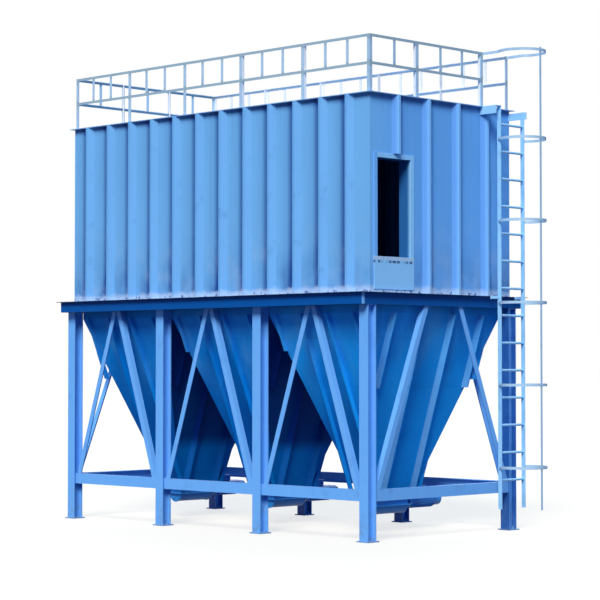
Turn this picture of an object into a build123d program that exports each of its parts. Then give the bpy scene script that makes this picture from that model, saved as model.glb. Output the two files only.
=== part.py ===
from build123d import *
import os
from math import atan2, cos, hypot

# Baghouse dust collector: a stiffened sheet housing with a side inlet, on a platform
# carried by a braced frame of eight columns, with three hoppers below and a caged
# ladder to the railed roof. Millimetres, +Z up. X runs along the three bays, the
# inlet and the ladder are on the +X end, and the front is -Y.

# Support frame
bay_count = 3
bay_length = 1600.0
frame_width = 2300.0
column_depth = 125.0
column_flange = 125.0
column_flange_t = 9.0
column_web_t = 6.5
base_plate_size = 170.0
base_plate_t = 12.0
anchor_spacing_x = 76.0
anchor_spacing_y = 60.0
anchor_hole_r = 9.0
cap_plate_t = 8.0

# Platform
deck_height = 2590.0
deck_plate_t = 6.0
deck_lip = 45.0
platform_reach_x = 72.0
platform_reach_y = 165.0
beam_height = 120.0
beam_flange = 53.0
beam_web_t = 6.0
beam_flange_t = 8.0
cross_beam_flange = 74.0
end_plate_width = 38.0
end_plate_t = 6.0

# Lower ring beams and braces
lower_beam_top = 540.0
setback_front = 27.5
setback_side = 12.5
angle_leg = 63.0
angle_t = 6.0
front_brace_top = 34.0
front_brace_margin = 122.0
side_brace_top = 275.0
side_brace_margin = 102.0
mitre_clear = 1.0

# Hoppers, stiffened by ribs folded from sheet
hopper_gap = 128.0
hopper_inset_y = 65.0
hopper_wall = 5.0
hopper_rim_drop = 80.0
hopper_foot_height = 390.0
hopper_foot_x = 240.0
hopper_foot_y = 560.0
rib_depth = 60.0
rib_crest = 15.0
rib_run = 35.0
rib_sheet = 5.0
ribs_per_side = 4
side_rib_margin = 365.0
side_rib_shift = 37.0
side_rib_shorts = (800.0, 800.0)
front_rib_margin = 155.0
front_rib_shift = 6.0
front_rib_shorts = (710.0, 400.0)

# Discharge valves under the hoppers, with their drives
valve_half_width = 100.0
valve_length = 500.0
valve_wall = 8.0
valve_flange_t = 10.0
valve_flange_reach = 30.0
valve_split_height = 290.0
valve_slot_width = 90.0
drive_radius = 85.0
drive_axis_rise = 45.0
drive_length = 620.0
drive_neck_radius = 30.0
drive_neck_length = 65.0
cowl_radius = 78.0
cowl_round = 25.0
cowl_length = 110.0

# Housing, stiffened by ridges folded from sheet
housing_reach_x = 30.0
housing_inset_y = 5.0
housing_height = 2090.0
housing_wall = 5.0
roof_t = 8.0
roof_overhang = 45.0
ridge_depth = 55.0
ridge_crest = 30.0
ridge_run = 55.0
ridge_sheet = 4.0
front_ridges = 12
front_ridge_margin = 290.5
front_ridge_shift = -19.0
side_ridges = 4
side_ridge_margin = 419.0
side_ridge_shift = 2.0

# Inlet on the +X wall
inlet_margin = 108.0
inlet_width = 522.0
inlet_rise = 377.0
inlet_height = 1036.0
inlet_depth = 160.0
inlet_flange = 50.0
inlet_plate_t = 8.0
inlet_hole_r = 6.0
inlet_holes_across = 6
inlet_holes_up = 10
apron_lift = 35.0

# Roof railing
rail_height = 610.0
rail_inset = 55.0
post_leg = 40.0
post_t = 4.0
rail_leg = 30.0
rail_t = 4.0
baluster_width = 38.0
front_rail_bays = 5
side_post_offset = 768.0

# Ladder and cage
ladder_stand_off = 122.0
ladder_inset_y = 228.0
ladder_width = 405.0
stringer_width = 50.0
stringer_t = 8.0
ladder_foot = 260.0
ladder_drop = 40.0
rung_r = 14.0
rung_first = 575.0
rung_pitch = 300.0
hoop_first = 715.0
hoop_pitch = 900.0
hoop_offset = 157.0
strap_width = 30.0
strap_t = 5.0
cage_bar_over = 15.0
seat_gap = 0.3
bracket_t = 8.0
bracket_width = 50.0

# Ladder head: a shelf with a lip on the near side and a bracket on the far side
shelf_width = 78.0
shelf_reach = 189.0
shelf_lip = 90.0
head_bracket_height = 80.0
head_bracket_reach = 51.0

# Worked out from the sizes above
column_x = [(i - bay_count / 2) * bay_length for i in range(bay_count + 1)]
bay_x = [(i - (bay_count - 1) / 2) * bay_length for i in range(bay_count)]
frame_half_x = bay_count * bay_length / 2
frame_half_y = frame_width / 2
front_brace_foot = bay_length / 2 - front_brace_margin
side_brace_foot = frame_half_y - side_brace_margin
beam_top = deck_height - deck_plate_t
beam_bottom = beam_top - beam_height
slope_top = beam_bottom - hopper_rim_drop
platform_half_x = frame_half_x + platform_reach_x
platform_half_y = frame_half_y + platform_reach_y
lower_beam_bottom = lower_beam_top - beam_height
front_face_y = frame_half_y + column_depth / 2 - setback_front
side_face_x = frame_half_x + column_flange / 2 - setback_side
hopper_half_x = (bay_length - hopper_gap) / 2
hopper_half_y = frame_half_y - hopper_inset_y
housing_half_x = frame_half_x + housing_reach_x
housing_half_y = frame_half_y - housing_inset_y
roof_top = deck_height + housing_height
wall_top = roof_top - roof_t
inlet_near = inlet_margin - housing_half_y
inlet_far = inlet_near + inlet_width
inlet_sill = deck_height + inlet_rise
inlet_head = inlet_sill + inlet_height
apron_foot = deck_height + apron_lift
rail_half_x = housing_half_x + roof_overhang - rail_inset
rail_half_y = housing_half_y + roof_overhang - rail_inset
rail_top = roof_top + rail_height
side_post_y = side_post_offset - rail_half_y
ladder_x = platform_half_x + deck_lip + ladder_stand_off
ladder_y = housing_half_y - ladder_inset_y
ladder_head = roof_top - ladder_drop
rung_count = int((ladder_head - rung_first) / rung_pitch) + 1
hoop_count = int((ladder_head - hoop_first) / hoop_pitch) + 1
hoop_seat = ladder_width / 2 + stringer_t / 2 + seat_gap
ladder_gate_near = ladder_y - hoop_seat - strap_t - seat_gap
hoop_r = hypot(hoop_offset, hoop_seat) + strap_t / 2
cage_x = ladder_x + hoop_offset
reach_right = cage_x + hoop_r + strap_t / 2
reach_left = platform_half_x + deck_lip
centre_shift = (reach_left - reach_right) / 2


def block(x0, x1, y0, y1, z0, z1):
    """A box between two corners."""
    size = Box(x1 - x0, y1 - y0, z1 - z0)
    return Pos((x0 + x1) / 2, (y0 + y1) / 2, (z0 + z1) / 2) * size


def prism(plane, points, length):
    """A closed outline extruded along its plane's normal."""
    outline = make_face(Polyline(*points, close=True))
    return extrude(plane * outline, length)


def save(name, shape):
    """Centres the part over its footprint and writes one piece."""
    export_step(Pos(centre_shift, 0, 0) * shape, f"parts/{name}.step")


def apart(pieces):
    """Like pieces that don't touch, kept together as one node."""
    return Compound([solid for piece in pieces for solid in piece.solids()])


def spread(count, half_width, margin):
    """Even places across a face, the outer ones a margin from its edges."""
    first = margin - half_width
    pitch = -2 * first / (count - 1)
    return [first + i * pitch for i in range(count)]


def folded(depth, crest, run, sheet):
    """The section of a ridge folded from sheet: a square flank, a crest and a slanted flank.

    The square flank stands at 0 and the ridge runs to the positive side. Points are
    (across, out), with the carrying face at out = 0.
    """
    slant = sheet * hypot(depth, run) / depth
    inner_crest = crest + run * sheet / depth - slant
    return [
        (0, 0), (0, depth), (crest, depth), (crest + run, 0), (crest + run - slant, 0),
        (inner_crest, depth - sheet), (sheet, depth - sheet), (sheet, 0),
    ]


def channel_x(length, web_y, inward, bottom):
    """A channel along X, its web face at web_y and its flanges pointing inward."""
    tip = web_y + inward * beam_flange
    inner = web_y + inward * beam_web_t
    low = bottom + beam_flange_t
    high = bottom + beam_height - beam_flange_t
    points = [
        (web_y, bottom), (tip, bottom), (tip, low), (inner, low),
        (inner, high), (tip, high), (tip, bottom + beam_height), (web_y, bottom + beam_height),
    ]
    return Pos(-length / 2, 0, 0) * prism(Plane.YZ, points, length)


def channel_y(length, web_x, inward, bottom):
    return Rot(0, 0, 90) * channel_x(length, -web_x, -inward, bottom)


def column(x, y):
    """A rolled H column with its base and cap plates."""
    foot = base_plate_t
    head = beam_bottom - cap_plate_t
    half_x = column_flange / 2
    half_y = column_depth / 2
    web_half = column_web_t / 2
    shaft = block(-web_half, web_half, -half_y, half_y, foot, head)
    for side in (-1, 1):
        middle = side * (half_y - column_flange_t / 2)
        half_t = column_flange_t / 2
        shaft += block(-half_x, half_x, middle - half_t, middle + half_t, foot, head)
    half_base = base_plate_size / 2
    base = block(-half_base, half_base, -half_base, half_base, 0, base_plate_t)
    holes = GridLocations(anchor_spacing_x, anchor_spacing_y, 2, 2)
    base -= Pos(0, 0, base_plate_t / 2) * holes * Cylinder(anchor_hole_r, 2 * base_plate_t)
    cap = block(-half_x, half_x, -half_y, half_y, head, beam_bottom)
    return Pos(x, y, 0) * (shaft + base + cap)


def mitre(beam, half_long, across, half_across, axis_turn):
    """Cuts a ring beam's ends at 45 degrees."""
    inner = beam_flange + mitre_clear
    points = [
        (-half_long, -half_across), (half_long, -half_across),
        (half_long - inner, -half_across + inner), (-half_long + inner, -half_across + inner),
    ]
    wedge = Rot(0, 0, axis_turn) * Pos(0, 0, across) * extrude(
        make_face(Polyline(*points, close=True)), beam_height)
    return beam & wedge


def platform_beams():
    front = channel_x(2 * platform_half_x, -platform_half_y, 1, beam_bottom)
    right = channel_y(2 * platform_half_y, platform_half_x, -1, beam_bottom)
    front = mitre(front, platform_half_x, beam_bottom, platform_half_y, 0)
    right = mitre(right, platform_half_y, beam_bottom, platform_half_x, 90)
    outer = platform_half_x + end_plate_t
    for side in (-1, 1):
        edge = side * platform_half_y
        inner = edge - side * end_plate_width
        right += block(platform_half_x, outer, min(edge, inner), max(edge, inner),
                       beam_bottom, beam_top)
    save("platform_beam_front", front)
    save("platform_beam_back", mirror(front, Plane.XZ))
    save("platform_beam_right", right)
    save("platform_beam_left", mirror(right, Plane.YZ))


def platform_grid():
    """Cross beams over the middle columns, with header beams between them."""
    half_y = platform_half_y - beam_flange
    half_f = cross_beam_flange / 2
    web_half = beam_web_t / 2
    end_tip = platform_half_x - beam_flange
    grid = None
    for x in column_x[1:-1]:
        beam = block(x - web_half, x + web_half, -half_y, half_y, beam_bottom, beam_top)
        for z in (beam_bottom, beam_top - beam_flange_t):
            beam += block(x - half_f, x + half_f, -half_y, half_y, z, z + beam_flange_t)
        grid = beam if grid is None else grid + beam
    face = frame_half_y + beam_flange / 2
    for side in (-1, 1):
        header = channel_x(2 * end_tip, side * face, -side, beam_bottom)
        for x in column_x[1:-1]:
            header -= block(x - half_f, x + half_f, -2 * face, 2 * face, beam_bottom, beam_top)
        grid += header
        for x in column_x[1:-1]:
            for direction in (-1, 1):
                near = x + direction * web_half
                far = x + direction * half_f
                low = beam_bottom + beam_flange_t
                high = beam_top - beam_flange_t
                inner = side * (face - beam_web_t)
                grid += block(min(near, far), max(near, far), min(side * face, inner),
                              max(side * face, inner), low, high)
    save("platform_grid", grid)


def platform_plate():
    half_x = platform_half_x + deck_lip
    half_y = platform_half_y + deck_lip
    plate = block(-half_x, half_x, -half_y, half_y, beam_top, deck_height)
    inside_x = hopper_half_x - hopper_wall
    inside_y = hopper_half_y - hopper_wall
    for x in bay_x:
        plate -= block(x - inside_x, x + inside_x, -inside_y, inside_y, beam_top, deck_height)
    save("platform_plate", plate)


def lower_beams():
    web_gap = column_web_t + 2 * seat_gap
    bays = []
    for x in bay_x:
        bays.append(Pos(x, 0, 0) * channel_x(bay_length - web_gap, -front_face_y, 1,
                                             lower_beam_bottom))
    save("lower_beam_front", apart(bays))
    save("lower_beam_back", apart([mirror(bay, Plane.XZ) for bay in bays]))
    length = frame_width - column_depth
    right = channel_y(length, side_face_x, -1, lower_beam_bottom)
    save("lower_beam_right", right)
    save("lower_beam_left", mirror(right, Plane.YZ))


def angle_brace(top, foot):
    """An angle leaning outward from top to foot, its face on the plane Y = 0.

    The second leg stands along the outer, upper edge and points to +Y.
    """
    rise = beam_bottom - lower_beam_top
    run = foot - top
    lean = atan2(run, rise)
    half = angle_leg / 2 / cos(lean)
    thin = angle_t / cos(lean)
    face = [
        (top - half, beam_bottom), (top + half, beam_bottom),
        (foot + half, lower_beam_top), (foot - half, lower_beam_top),
    ]
    edge = [
        (top + half - thin, beam_bottom), (top + half, beam_bottom),
        (foot + half, lower_beam_top), (foot + half - thin, lower_beam_top),
    ]
    return prism(Plane.XZ, face, -angle_t) + prism(Plane.XZ, edge, -angle_leg)


def braces():
    leg = angle_brace(front_brace_top, front_brace_foot)
    front = []
    for x in bay_x:
        for piece in (leg, mirror(leg, Plane.YZ)):
            front.append(Pos(x, -front_face_y, 0) * piece)
    save("braces_front", apart(front))
    save("braces_back", apart([mirror(piece, Plane.XZ) for piece in front]))
    leg = angle_brace(side_brace_top, side_brace_foot)
    right = []
    for piece in (leg, mirror(leg, Plane.YZ)):
        right.append(Pos(side_face_x, 0, 0) * Rot(0, 0, 90) * piece)
    save("braces_right", apart(right))
    save("braces_left", apart([mirror(piece, Plane.YZ) for piece in right]))


def pyramid(inset):
    """The hopper's rim and slopes, drawn in from the outside by inset."""
    half_x = hopper_half_x - inset
    half_y = hopper_half_y - inset
    foot_x = hopper_foot_x / 2 - inset
    foot_y = hopper_foot_y / 2 - inset
    fall = slope_top - hopper_foot_height
    slope = Wedge(2 * half_x, fall, 2 * half_y, half_x - foot_x, half_y - foot_y,
                  half_x + foot_x, half_y + foot_y)
    slope = Pos(0, 0, slope_top - fall / 2) * Rot(-90, 0, 0) * slope
    return slope + block(-half_x, half_x, -half_y, half_y, slope_top, beam_top)


def face_rib(half_top, half_foot, offset, drop):
    """A folded rib down the +X slope, its square flank at Y = offset, running to -Y."""
    lean = (half_top - half_foot) / (slope_top - hopper_foot_height)
    sunk = half_top - hopper_wall / 2
    points = []
    for across, out in folded(rib_depth, rib_crest, rib_run, rib_sheet):
        x = half_top + out if out > 0 else sunk
        points.append((x, offset - across, slope_top))
    section = make_face(Polyline(*points, close=True))
    return extrude(section, hypot(drop, lean * drop), dir=(-lean * drop, 0, -drop))


def hopper_ribs(half_top, half_foot, places, shorts):
    """The ribs of one +X slope, the first and the last as short as given."""
    full = slope_top - hopper_foot_height
    drops = [full] * len(places)
    drops[0] = shorts[0]
    drops[-1] = shorts[1]
    return [face_rib(half_top, half_foot, y, drop) for y, drop in zip(places, drops)]


def hopper_shell():
    shell = pyramid(0) - pyramid(hopper_wall)
    half_foot_x = hopper_foot_x / 2
    half_foot_y = hopper_foot_y / 2
    side = spread(ribs_per_side, hopper_half_y, side_rib_margin)
    side = [y + side_rib_shift for y in side]
    front = spread(ribs_per_side, hopper_half_x, front_rib_margin)
    front = [-x - front_rib_shift for x in front]
    for rib in hopper_ribs(hopper_half_x, half_foot_x, side, side_rib_shorts):
        shell += rib
        shell += mirror(rib, Plane.YZ)
    for rib in hopper_ribs(hopper_half_y, half_foot_y, front, front_rib_shorts):
        turned = Rot(0, 0, -90) * rib
        shell += turned
        shell += mirror(turned, Plane.XZ)
    reach = valve_flange_reach
    ring = block(-half_foot_x - reach, half_foot_x + reach, -half_foot_y - reach,
                 half_foot_y + reach, hopper_foot_height - valve_flange_t, hopper_foot_height)
    hole_x = half_foot_x - hopper_wall
    hole_y = half_foot_y - hopper_wall
    ring -= block(-hole_x, hole_x, -hole_y, hole_y, hopper_foot_height - valve_flange_t,
                  hopper_foot_height)
    return shell + ring


def hoppers():
    shell = hopper_shell()
    for i, x in enumerate(bay_x):
        save(f"hopper_{i + 1}", Pos(x, 0, 0) * shell)


def trough(half_width, half_length, top):
    """A round-bottomed trough along Y, solid from its bottom up to top."""
    axis = valve_split_height
    lower = Rot(90, 0, 0) * Cylinder(half_width, 2 * half_length)
    lower = Pos(0, 0, axis) * lower
    lower &= block(-half_width, half_width, -half_length, half_length, axis - half_width, axis)
    return lower + block(-half_width, half_width, -half_length, half_length, axis, top)


def valve_casing():
    top = hopper_foot_height - valve_flange_t
    half_length = valve_length / 2
    body = trough(valve_half_width, half_length, top)
    body -= trough(valve_half_width - valve_wall, half_length - valve_wall, top)
    reach = valve_flange_reach
    half_x = hopper_foot_x / 2 + reach
    half_y = hopper_foot_y / 2 + reach
    hole_x = valve_half_width - valve_wall
    hole_y = half_length - valve_wall
    for z in (top - valve_flange_t, valve_split_height):
        if z == valve_split_height:
            half_x = valve_half_width + reach
            half_y = half_length + reach
        ring = block(-half_x, half_x, -half_y, half_y, z, z + valve_flange_t)
        body += ring - block(-hole_x, hole_x, -hole_y, hole_y, z, z + valve_flange_t)
    slot = block(-valve_slot_width / 2, valve_slot_width / 2, -hole_y, hole_y,
                 valve_split_height - 2 * valve_half_width, valve_split_height)
    return body - slot


def drive():
    """A geared motor along Y, from the casing's end plate to its round-edged fan cowl."""
    start = valve_length / 2
    body_end = drive_length - cowl_length
    with BuildPart() as motor:
        with BuildSketch(Plane.YZ):
            with BuildLine():
                Polyline((0, 0), (drive_neck_radius, 0), (drive_neck_radius, drive_neck_length),
                         (drive_radius, drive_neck_length), (drive_radius, body_end),
                         (cowl_radius, body_end), (cowl_radius, drive_length - cowl_round),
                         (cowl_radius - cowl_round, drive_length), (0, drive_length), (0, 0))
            make_face()
        revolve(axis=Axis.Z)
    return Pos(0, start, valve_split_height + drive_axis_rise) * Rot(-90, 0, 0) * motor.part


def valves():
    casing = valve_casing()
    motor = drive()
    for i, x in enumerate(bay_x):
        save(f"discharge_valve_{i + 1}", Pos(x, 0, 0) * casing)
    save("valve_drives", apart([Pos(x, 0, 0) * motor for x in bay_x]))


def housing_walls():
    long_wall = block(-housing_half_x, housing_half_x, -housing_half_y,
                      housing_wall - housing_half_y, deck_height, wall_top)
    save("front_wall", long_wall)
    save("back_wall", mirror(long_wall, Plane.XZ))
    inner_y = housing_half_y - housing_wall
    end_wall = block(housing_half_x - housing_wall, housing_half_x, -inner_y, inner_y,
                     deck_height, wall_top)
    save("left_wall", mirror(end_wall, Plane.YZ))
    end_wall -= block(housing_half_x - 2 * housing_wall, housing_half_x + housing_wall,
                      inlet_near - housing_wall, inlet_far + housing_wall,
                      inlet_sill - housing_wall, inlet_head + housing_wall)
    save("right_wall", end_wall)
    half_x = housing_half_x + roof_overhang
    half_y = housing_half_y + roof_overhang
    save("roof_plate", block(-half_x, half_x, -half_y, half_y, wall_top, roof_top))


def ridge(half_width, side, flank, foot):
    """A folded ridge up a wall whose face is at Y = -half_width, running from flank to side."""
    points = []
    for across, out in folded(ridge_depth, ridge_crest, ridge_run, ridge_sheet):
        points.append((flank + side * across, -half_width - out))
    return Pos(0, 0, foot) * prism(Plane.XY, points, wall_top - foot)


def stiffeners():
    front = []
    for x in spread(front_ridges, housing_half_x, front_ridge_margin):
        front.append(ridge(housing_half_y, 1, x + front_ridge_shift, deck_height))
    save("stiffeners_front", apart(front))
    save("stiffeners_back", apart([mirror(piece, Plane.XZ) for piece in front]))
    right = []
    left = []
    for y in spread(side_ridges, housing_half_y, side_ridge_margin):
        flank = y + side_ridge_shift
        over_inlet = inlet_near - inlet_flange < flank < inlet_far + inlet_flange
        foot = inlet_head + inlet_flange if over_inlet else deck_height
        right.append(Rot(0, 0, 90) * ridge(housing_half_x, -1, flank, foot))
        whole = Rot(0, 0, 90) * ridge(housing_half_x, -1, flank, deck_height)
        left.append(mirror(whole, Plane.YZ))
    save("stiffeners_right", apart(right))
    save("stiffeners_left", apart(left))


def inlet_frame():
    """The duct flange round the opening, its collar going inside, and the apron below."""
    face = housing_half_x
    outer = face + inlet_plate_t
    ring = block(face, outer, inlet_near - inlet_flange, inlet_far + inlet_flange,
                 inlet_sill - inlet_flange, inlet_head + inlet_flange)
    collar = block(face - inlet_depth, face, inlet_near - housing_wall, inlet_far + housing_wall,
                   inlet_sill - housing_wall, inlet_head + housing_wall)
    clear = block(face - 2 * inlet_depth, 2 * outer, inlet_near, inlet_far, inlet_sill, inlet_head)
    ring = ring + collar - clear
    middle_y = (inlet_near + inlet_far) / 2
    middle_z = (inlet_sill + inlet_head) / 2
    span_y = inlet_far - inlet_near + inlet_flange
    span_z = inlet_head - inlet_sill + inlet_flange
    drill = Rot(0, 90, 0) * Cylinder(inlet_hole_r, 2 * inlet_plate_t)
    places = []
    for i in range(inlet_holes_across):
        y = middle_y - span_y / 2 + span_y * i / (inlet_holes_across - 1)
        places += [(y, middle_z - span_z / 2), (y, middle_z + span_z / 2)]
    for i in range(1, inlet_holes_up - 1):
        z = middle_z - span_z / 2 + span_z * i / (inlet_holes_up - 1)
        places += [(middle_y - span_y / 2, z), (middle_y + span_y / 2, z)]
    for y, z in places:
        ring -= Pos(outer, y, z) * drill
    apron = block(face, outer, inlet_near - inlet_flange, inlet_far + inlet_flange, apron_foot,
                  inlet_sill - inlet_flange)
    save("inlet_frame", ring + apron)


def rail_x(x0, x1, y, inward, top):
    """An angle rail along X with its upright leg outside."""
    outer = y
    inner = y + inward * rail_t
    tip = y + inward * rail_leg
    upright = block(x0, x1, min(outer, inner), max(outer, inner), top - rail_leg, top)
    flat = block(x0, x1, min(outer, tip), max(outer, tip), top - rail_t, top)
    return upright + flat


def post(x, y, turn_x, turn_y):
    """An angle post whose corner is at (x, y) and whose legs point by turn_x and turn_y."""
    x1 = x + turn_x * post_leg
    y1 = y + turn_y * post_leg
    xt = x + turn_x * post_t
    yt = y + turn_y * post_t
    one = block(min(x, x1), max(x, x1), min(y, yt), max(y, yt), roof_top, rail_top)
    two = block(min(x, xt), max(x, xt), min(y, y1), max(y, y1), roof_top, rail_top)
    return one + two


def railing_long(side):
    """The front (side -1) or back (side 1) railing, with both corner posts."""
    y = side * rail_half_y
    inward = -side
    middle = roof_top + rail_height / 2 + rail_leg / 2
    rails = rail_x(-rail_half_x, rail_half_x, y, inward, rail_top)
    rails += rail_x(-rail_half_x, rail_half_x, y, inward, middle)
    bay = 2 * rail_half_x / front_rail_bays
    for i in range(front_rail_bays + 1):
        x = -rail_half_x + i * bay
        turn = 1 if i < front_rail_bays / 2 + 0.5 else -1
        rails += post(x, y, turn, inward)
    for i in range(front_rail_bays):
        for third in (1, 2):
            x = -rail_half_x + (i + third / 3) * bay
            inner = y + inward * rail_t
            half = baluster_width / 2
            rails += block(x - half, x + half, min(y, inner), max(y, inner),
                           middle - rail_leg / 2, rail_top - rail_t / 2)
    return rails


def side_rails(side, posts, balusters, start, stop):
    """The railing across one end, between the corner posts of the long sides."""
    x = side * rail_half_x
    inward = -side
    middle = roof_top + rail_height / 2 + rail_leg / 2
    rails = None
    for top in (rail_top, middle):
        inner = x + inward * rail_t
        tip = x + inward * rail_leg
        upright = block(min(x, inner), max(x, inner), start, stop, top - rail_leg, top)
        flat = block(min(x, tip), max(x, tip), start, stop, top - rail_t, top)
        rail = upright + flat
        rails = rail if rails is None else rails + rail
    for y in posts:
        rails += post(x, y - post_leg, inward, 1)
    for y in balusters:
        inner = x + inward * rail_t
        half = baluster_width / 2
        rails += block(min(x, inner), max(x, inner), y - half, y + half,
                       middle - rail_leg / 2, rail_top - rail_t / 2)
    return rails


def railings():
    save("railing_front", railing_long(-1))
    save("railing_back", railing_long(1))
    corner = rail_half_y - post_leg
    first = (-rail_half_y + side_post_y) / 2
    span = ladder_gate_near - side_post_y
    balusters = [first, side_post_y + span / 3, side_post_y + 2 * span / 3]
    save("railing_right", side_rails(1, [side_post_y, ladder_gate_near], balusters,
                                     -corner, ladder_gate_near))
    third = 2 * rail_half_y / 3
    posts = [-third / 2, third / 2]
    left_balusters = [-third, 0, third]
    save("railing_left", side_rails(-1, posts, left_balusters, -corner, corner))


def ladder():
    half = ladder_width / 2
    frame = None
    for side in (-1, 1):
        y = ladder_y + side * half
        bar = block(ladder_x - stringer_width / 2, ladder_x + stringer_width / 2,
                    y - stringer_t / 2, y + stringer_t / 2, ladder_foot, ladder_head)
        frame = bar if frame is None else frame + bar
    for i in range(rung_count):
        rung = Rot(90, 0, 0) * Cylinder(rung_r, ladder_width)
        frame += Pos(ladder_x, ladder_y, rung_first + i * rung_pitch) * rung
    deck_edge = platform_half_x + deck_lip
    for side in (-1, 1):
        inner = ladder_y + side * (half + stringer_t / 2)
        outer = inner + side * bracket_t
        frame += block(deck_edge, ladder_x, min(inner, outer), max(inner, outer),
                       beam_top - bracket_width / 2, deck_height)
    save("ladder", frame + ladder_shelf() + head_bracket())


def ladder_shelf():
    """A shelf at roof level from the roof's edge to the near stringer, its lip on the wall."""
    roof_edge = housing_half_x + roof_overhang
    out = roof_edge + shelf_reach
    far = ladder_y - (ladder_width - stringer_t) / 2
    near = far - shelf_width - stringer_t
    shelf = block(roof_edge, out, near, far, wall_top, roof_top)
    lip = block(housing_half_x, out, near, near + bracket_t, roof_top - shelf_lip, wall_top)
    half_bar = stringer_width / 2
    riser = block(ladder_x - half_bar, ladder_x + half_bar, far - stringer_t, far,
                  ladder_head, wall_top)
    return shelf + lip + riser


def head_bracket():
    """A deep flat bracket from the wall past the far stringer's head."""
    inner = ladder_y + (ladder_width + stringer_t) / 2
    return block(housing_half_x, ladder_x + head_bracket_reach, inner, inner + bracket_t,
                 ladder_head - head_bracket_height, ladder_head)


def hoop(z):
    """An open ring of flat bar round the climber, from stringer to stringer."""
    outer = Cylinder(hoop_r + strap_t / 2, strap_width)
    inner = Cylinder(hoop_r - strap_t / 2, 2 * strap_width)
    ring = outer - inner
    cut = block(-2 * hoop_r, -hoop_offset, -hoop_r, hoop_r, -strap_width, strap_width)
    return Pos(cage_x, ladder_y, z) * (ring - cut)


def gate_arms(low, high):
    """The top hoop's ends, carried back to the posts of the roof gate."""
    near = ladder_y - hoop_seat - strap_t
    far = ladder_y + hoop_seat
    arms = block(rail_half_x - post_leg, ladder_x + strap_t, near, near + strap_t, low, high)
    return arms + block(rail_half_x + seat_gap, ladder_x + strap_t, far, far + strap_t, low, high)


def cage():
    heights = [hoop_first + i * hoop_pitch for i in range(hoop_count)]
    heights.append(rail_top - strap_width / 2)
    cage_body = None
    for z in heights:
        ring = hoop(z)
        cage_body = ring if cage_body is None else cage_body + ring
    cage_body += gate_arms(rail_top - strap_width, rail_top)
    bar_outer = cage_x + hoop_r - strap_t / 2
    half = strap_width / 2
    cage_body += block(bar_outer - strap_t, bar_outer, ladder_y - half, ladder_y + half,
                       ladder_foot, rail_top + cage_bar_over)
    save("ladder_cage", cage_body)


def columns():
    for i, x in enumerate(column_x):
        save(f"column_front_{i + 1}", column(x, -frame_half_y))
        save(f"column_back_{i + 1}", column(x, frame_half_y))


os.makedirs("parts", exist_ok=True)
columns()
platform_beams()
platform_grid()
platform_plate()
lower_beams()
braces()
hoppers()
valves()
housing_walls()
stiffeners()
inlet_frame()
railings()
ladder()
cage()
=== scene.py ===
# %% [markdown]
# # A dust filter house in blue paint
#
# This lesson dresses a steel filter house: a ribbed sheet casing on a braced platform, with
# hoppers below it, a railed roof and a caged ladder. The steelwork comes in as a fixed frame in
# real metres. What is added here is what the steel alone doesn't have: paint, weather, seams,
# bolts and nuts, under a hazy sun and a faint sky.

# %% Load the steelwork
from math import radians

import bpy
from mathutils import Matrix, Vector


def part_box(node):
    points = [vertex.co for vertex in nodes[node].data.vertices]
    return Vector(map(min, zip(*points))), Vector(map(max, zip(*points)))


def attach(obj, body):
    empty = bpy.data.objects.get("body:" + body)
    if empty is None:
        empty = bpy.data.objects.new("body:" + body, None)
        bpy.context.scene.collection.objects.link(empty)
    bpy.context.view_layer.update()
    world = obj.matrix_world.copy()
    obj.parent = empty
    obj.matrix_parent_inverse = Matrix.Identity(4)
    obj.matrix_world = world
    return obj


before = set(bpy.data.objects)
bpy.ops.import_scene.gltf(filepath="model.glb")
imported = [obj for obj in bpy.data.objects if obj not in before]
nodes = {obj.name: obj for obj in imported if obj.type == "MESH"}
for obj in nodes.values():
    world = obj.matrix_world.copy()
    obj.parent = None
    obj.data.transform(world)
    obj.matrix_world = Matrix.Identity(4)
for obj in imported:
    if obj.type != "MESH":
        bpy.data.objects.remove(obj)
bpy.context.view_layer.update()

# %% [markdown]
# ## Places that everything else is measured from
#
# A filter house is laid out on a grid of columns, so the middle of the long wall is the middle of
# the grid, though not of the whole machine, because the ladder stands out at one end. The places
# could be typed in as numbers, but reading them from the steel keeps every bolt and stain on it if
# the steel changes.

# %% Read the main places from the steel
wall_low, wall_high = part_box("front_wall")
plate_low, plate_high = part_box("platform_plate")
middle_x = (wall_low.x + wall_high.x) / 2
wall_half_x = (wall_high.x - wall_low.x) / 2
plate_half_x = (plate_high.x - plate_low.x) / 2
front_y = wall_low.y
back_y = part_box("back_wall")[1].y
deck_z = wall_low.z
roof_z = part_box("roof_plate")[1].z
bay = 1.6
print("grid middle", round(middle_x, 4), "deck", round(deck_z, 3), "roof", round(roof_z, 3))

# %% [markdown]
# ## The camera
#
# The machine is seen from its front right corner by a person about twenty-three metres away, who
# looks up very slightly. A wide lens from near by would make the near corner loom, so a long lens
# is used, which keeps the uprights nearly parallel. The place is given from the middle of the
# column grid, at ground level.

# %% Set the camera
camera_out_x = 16.793
camera_out_y = -16.605
eye_height = 1.81
look_up = 1.8889
look_left = 44.8654
lens_mm = 122.08

camera_data = bpy.data.cameras.new("viewer")
camera_data.lens = lens_mm
camera_data.sensor_width = 36.0
camera_data.clip_end = 200.0
camera = bpy.data.objects.new("viewer", camera_data)
camera.location = (middle_x + camera_out_x, camera_out_y, eye_height)
camera.rotation_euler = (radians(90 + look_up), 0, radians(look_left))
bpy.context.scene.collection.objects.link(camera)
bpy.context.scene.camera = camera
bpy.context.scene.view_settings.view_transform = "Standard"
print("camera at", [round(v, 2) for v in camera.location])
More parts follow.
